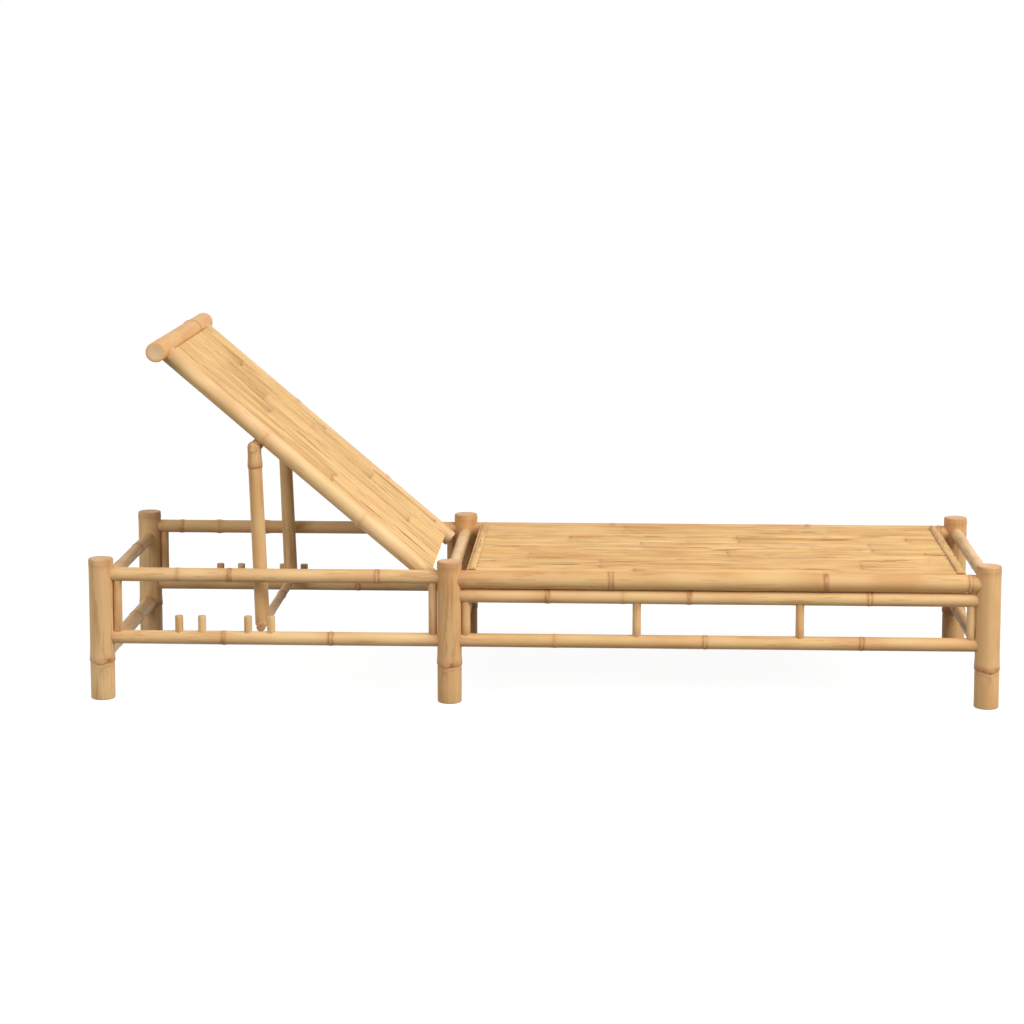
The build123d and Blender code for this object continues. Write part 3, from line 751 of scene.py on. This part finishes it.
# %% Deck slats and end battens
DECK_SLATS = 16
DECK_TONES = (0.3, 0.9)
DECK_SEED = 300
BATTEN_SEED = 400
low, high, centre = middle_of("deck_slats")
level = ((0, -1, 0), (0, 0, 1), (1, 0, 0))
slat_row("deck_slats", DECK_SLATS, (low[0], 0, low[2]), level, high[0] - low[0],
         high[1] - low[1], DECK_SEED, DECK_TONES)
crosswise = ((-1, 0, 0), (0, 0, 1), (0, 1, 0))
for index, node in enumerate(("deck_batten_middle", "deck_batten_foot")):
    low, high, centre = middle_of(node)
    turn = np.linspace(0, np.pi, 13)
    half_width, rise = (high[0] - low[0]) / 2, high[2] - low[2]
    half_round = np.stack([np.cos(turn) * half_width, np.sin(turn) * rise], -1)
    length = high[1] - low[1]
    surface = Surface()
    places = (0.31 * length, (0.78 - 0.1 * index) * length)
    add_strip(surface, (centre[0], low[1], low[2]), crosswise, length, half_round, places,
              np.random.default_rng(BATTEN_SEED + index), DECK_TONES)
    seat(surface.make("batten_" + node, SLAT), node)
print("deck slats", DECK_SLATS)

# %% [markdown]
# ## The backrest and its prop
# The backrest is easier to think of lying flat, so its pieces are placed by their reach from
# the hinge and then turned up by the recline angle. The prop hangs from its pivot bolts and
# ends at the foot dowel.

# %% Backrest
RECLINE = np.radians(40.5)
BACK_RAIL_DIA = 0.038
BACK_RAIL_TAIL = 0.012
ROLLER_REACH = 0.778
ROLLER_DIA = 0.045
BACK_BEARER_DIA = 0.020
BACK_BEARERS = 3
BACK_RAIL_RINGS = ((0.276, "swell"), (0.639, "swell"))
BACK_SLATS = 13
BACK_TONES = (0.0, 0.3)
BACK_SEED = 500
COPE_SEAT = 0.001
SLAT_REACH = (0.010, 0.7564)
SLAT_RISE = 0.01015
HINGE = np.array(JOINTS["backrest_recline"]["pos_m"], float)
UP_SLOPE = np.array([-np.cos(RECLINE), 0, np.sin(RECLINE)])
OFF_SLOPE = np.array([np.sin(RECLINE), 0, np.cos(RECLINE)])


def on_back(reach, y, rise=0.0):
    """A point of the raised backrest: reach up the slope, y across, rise off the slope."""
    return HINGE + reach * UP_SLOPE + rise * OFF_SLOPE + np.array([0, y, 0])


for side in SIDES:
    node = f"back_rail_{side}"
    low, high, centre = middle_of(node)
    start = on_back(-BACK_RAIL_TAIL, centre[1])
    end = on_back(ROLLER_REACH - ROLLER_DIA / 2 + COPE_SEAT, centre[1])
    pole(node, start, end, BACK_RAIL_DIA, BACK_RAIL_RINGS, tone=0.0, cope=ROLLER_DIA / 2)
low, high, centre = middle_of("head_roller")
pole("head_roller", on_back(ROLLER_REACH, low[1]), on_back(ROLLER_REACH, high[1]), ROLLER_DIA,
     ((0.723, "lip"),), finish=GOLDEN, tone=0.6, **SAWN_END)
for index in range(BACK_BEARERS):
    node = f"back_bearer_{index + 1}"
    pole(node, *ends_of(node, Y_AXIS), BACK_BEARER_DIA, ((0.3, "faint"), (0.7, "faint")))
low, high, centre = middle_of("back_slats")
sloped = (np.array([0, 1.0, 0]), OFF_SLOPE, UP_SLOPE)
slat_row("back_slats", BACK_SLATS, on_back(SLAT_REACH[0], 0, SLAT_RISE), sloped,
         SLAT_REACH[1] - SLAT_REACH[0], high[1] - low[1], BACK_SEED, BACK_TONES)
print("backrest slats", BACK_SLATS, "hinge", HINGE.round(4))

# %% Prop
PROP_DIA = 0.0315
PROP_ROUNDING = 0.0152
PROP_RING_DROP = 0.041
PROP_TAPER = 0.0015
FOOT_DOWEL_DIA = 0.020
PIVOT = np.array(JOINTS["prop_swing"]["pos_m"], float)
dowel = middle_of("foot_dowel")[2]
pole("foot_dowel", *ends_of("foot_dowel", Y_AXIS), FOOT_DOWEL_DIA,
     ((0.3, "faint"), (0.62, "double")), dish=0.0006)
for side in SIDES:
    node = f"prop_leg_{side}"
    across = np.array([0, middle_of(node)[2][1], 0])
    pivot, foot = PIVOT + across, np.array([dowel[0], 0, dowel[2]]) + across
    lean = (pivot - foot) / np.linalg.norm(pivot - foot)
    length = np.linalg.norm(pivot - foot) + PROP_ROUNDING
    share = (length - PROP_ROUNDING - PROP_RING_DROP) / length
    pole(node, foot, pivot + lean * PROP_ROUNDING, PROP_DIA, ((share, "lip"),),
         taper=PROP_TAPER, dome=PROP_ROUNDING)
print("prop pivot", PIVOT.round(4))

# %% [markdown]
# ## Steel fittings
# The hanger plates, bolts, screws and hinge pins keep their exact solid shapes. The steel is
# passivated yellow, near the bamboo's own colour, with a fine drawn grain and duller patches.

# %% Steel material
STEEL_BRIGHT, STEEL_DULL = linear(206, 176, 130), linear(170, 138, 96)
steel = bpy.data.materials.new("yellow_steel")
steel.use_nodes = True
graph = Graph(steel.node_tree)
shader = steel.node_tree.nodes["Principled BSDF"]
shader.inputs["Metallic"].default_value = 1.0
place = graph.node("ShaderNodeTexCoord").outputs["Object"]
grain = graph.noise(place, (900, 900, 60), detail=2.0)
dull = graph.noise(place, (40, 40, 40), detail=2.0)
graph.feed(shader.inputs["Base Color"], graph.mix(dull, STEEL_BRIGHT, STEEL_DULL))
graph.feed(shader.inputs["Roughness"], graph.math("MULTIPLY_ADD", grain, 0.25, 0.25))
STEEL_NODES = ("hinge_pin_right", "hinge_pin_left", "prop_hanger_right", "prop_hanger_left",
               "prop_pivot_bolts", "hanger_screws")
for node in STEEL_NODES:
    for holder in frame["nodes"][node].material_slots:
        holder.material = steel
print("steel nodes", len(STEEL_NODES))

# %% [markdown]
# ## The floor
# The lounger stands on a plain white floor. It shows white to the camera and keeps only a
# faint shadow, and it throws back less light than it shows, so the undersides stay dark.

# %% Floor
FLOOR_REACH = 30.0
FLOOR_BOUNCE = (0.22, 0.21, 0.19, 1)
FLOOR_GLOW = 0.93
FLOOR_SHADOW = (0.16, 0.16, 0.16, 1)


def seen_ray(graph):
    """1 for a ray from the camera or one mirrored or let through on its way, else 0."""
    path = graph.node("ShaderNodeLightPath").outputs
    seen = graph.math("MAXIMUM", path["Is Camera Ray"], path["Is Glossy Ray"])
    return graph.math("MAXIMUM", seen, path["Is Transmission Ray"])


mesh = bpy.data.meshes.new("floor")
signs = ((-1, -1), (1, -1), (1, 1), (-1, 1))
corners = [(x * FLOOR_REACH, y * FLOOR_REACH, 0) for x, y in signs]
mesh.from_pydata(corners, [], [(0, 1, 2, 3)])
floor = bpy.data.objects.new("floor", mesh)
scene.collection.objects.link(floor)
paper = bpy.data.materials.new("white_floor")
paper.use_nodes = True
graph = Graph(paper.node_tree)
paper.node_tree.nodes.clear()
bounce = graph.node("ShaderNodeBsdfDiffuse")
bounce.inputs["Color"].default_value = FLOOR_BOUNCE
glow = graph.node("ShaderNodeEmission")
glow.inputs["Strength"].default_value = FLOOR_GLOW
shadow = graph.node("ShaderNodeBsdfDiffuse")
shadow.inputs["Color"].default_value = FLOOR_SHADOW
shown = graph.node("ShaderNodeAddShader")
graph.feed(shown.inputs[0], glow.outputs[0])
graph.feed(shown.inputs[1], shadow.outputs[0])
choice = graph.node("ShaderNodeMixShader")
graph.feed(choice.inputs[0], seen_ray(graph))
graph.feed(choice.inputs[1], bounce.outputs[0])
graph.feed(choice.inputs[2], shown.outputs[0])
graph.feed(graph.node("ShaderNodeOutputMaterial").inputs["Surface"], choice.outputs[0])
mesh.materials.append(paper)
print("floor", 2 * FLOOR_REACH, "m wide")

# %% [markdown]
# ## Lamps and sky
# The white sky shows in full but lights the lounger only in part, so that the lamps can model
# the poles: a large key lamp at the upper right, a fill on the left and a weak one in front.

# %% Light
AMBIENT = 0.4
world = bpy.data.worlds.new("studio")
world.use_nodes = True
scene.world = world
graph = Graph(world.node_tree)
sky = world.node_tree.nodes["Background"]
sky.inputs["Color"].default_value = (1, 1, 1, 1)
strength = graph.math("MULTIPLY_ADD", seen_ray(graph), 1 - AMBIENT, AMBIENT)
graph.feed(sky.inputs["Strength"], strength)


def lamp(name, place, aim, size, power):
    """A square soft lamp at a place, turned towards its aim."""
    light = bpy.data.lights.new(name, "AREA")
    light.size, light.energy = size, power
    holder = bpy.data.objects.new(name, light)
    holder.location = place
    direction = np.array(aim) - np.array(place)
    tilt = np.arctan2(np.hypot(direction[0], direction[1]), -direction[2])
    holder.rotation_euler = (tilt, 0, np.arctan2(-direction[0], direction[1]))
    scene.collection.objects.link(holder)


lamp("key", (4.6, -3.0, 4.4), (-0.2, 0, 0.3), 3.4, 400)
lamp("fill", (-4.0, -5.0, 4.2), (0, 0, 0.3), 3.5, 165)
lamp("front", (0.6, -5.0, 1.6), (0, 0, 0.2), 3.0, 18)
print("lamps key, fill and front")
